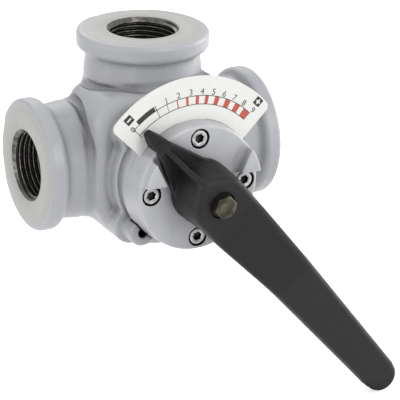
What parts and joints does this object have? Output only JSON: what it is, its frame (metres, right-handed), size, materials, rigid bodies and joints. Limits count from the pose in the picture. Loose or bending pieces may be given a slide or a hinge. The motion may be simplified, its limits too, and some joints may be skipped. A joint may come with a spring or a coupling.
{
  "type": "three-port rotary mixing valve",
  "caption": "Rotary plug valve with three internally threaded ports, a round bolted cover, a sector scale plate and a black hand lever with pointer.",
  "frame": {"origin": "the point where the axes of the three ports and of the spindle meet", "axes": "+X out of the right port, +Z out of the top port, -Y along the spindle out of the cover towards the lever"},
  "size_m": [0.1495, 0.1316, 0.1645],
  "materials": {
    "body_paint": "grey paint on a sand casting, satin, slightly uneven",
    "cover_paint": "grey paint on a finer casting, satin",
    "plate_paint": "white print on sheet metal, semi-matt, with a black and red scale",
    "lever_plastic": "black glass-filled plastic, fine moulded grain",
    "screw_steel": "bright zinc plated steel",
    "bolt_steel": "dull phosphated steel",
    "spindle_steel": "turned stainless steel",
    "segment_brass": "machined brass",
    "bush_bronze": "sintered bronze",
    "seal_rubber": "black nitrile rubber"
  },
  "bodies": {
    "housing": {"valve_body": "body_paint", "cover": "cover_paint", "cover_o_ring": "seal_rubber", "cover_screw_right": "screw_steel", "cover_screw_top": "screw_steel", "cover_screw_left": "screw_steel", "cover_screw_bottom": "screw_steel", "scale_plate": "plate_paint", "rear_bush": "bush_bronze", "front_bush": "bush_bronze", "spindle_o_ring_inner": "seal_rubber", "spindle_o_ring_outer": "seal_rubber", "seal_spacer": "bush_bronze"},
    "rotor": {"spindle": "spindle_steel", "segment": "segment_brass", "segment_pin": "spindle_steel", "thrust_washer": "bush_bronze", "retaining_ring": "spindle_steel", "lever": "lever_plastic", "lever_washer": "bolt_steel", "lever_spring_washer": "bolt_steel", "lever_bolt": "bolt_steel"}
  },
  "joints": [
    {"name": "lever_turn", "type": "hinge", "parent": "housing", "child": "rotor", "pos_m": [0, 0, 0], "axis": [0, 1, 0], "range_deg": [-5, 85]}
  ]
}
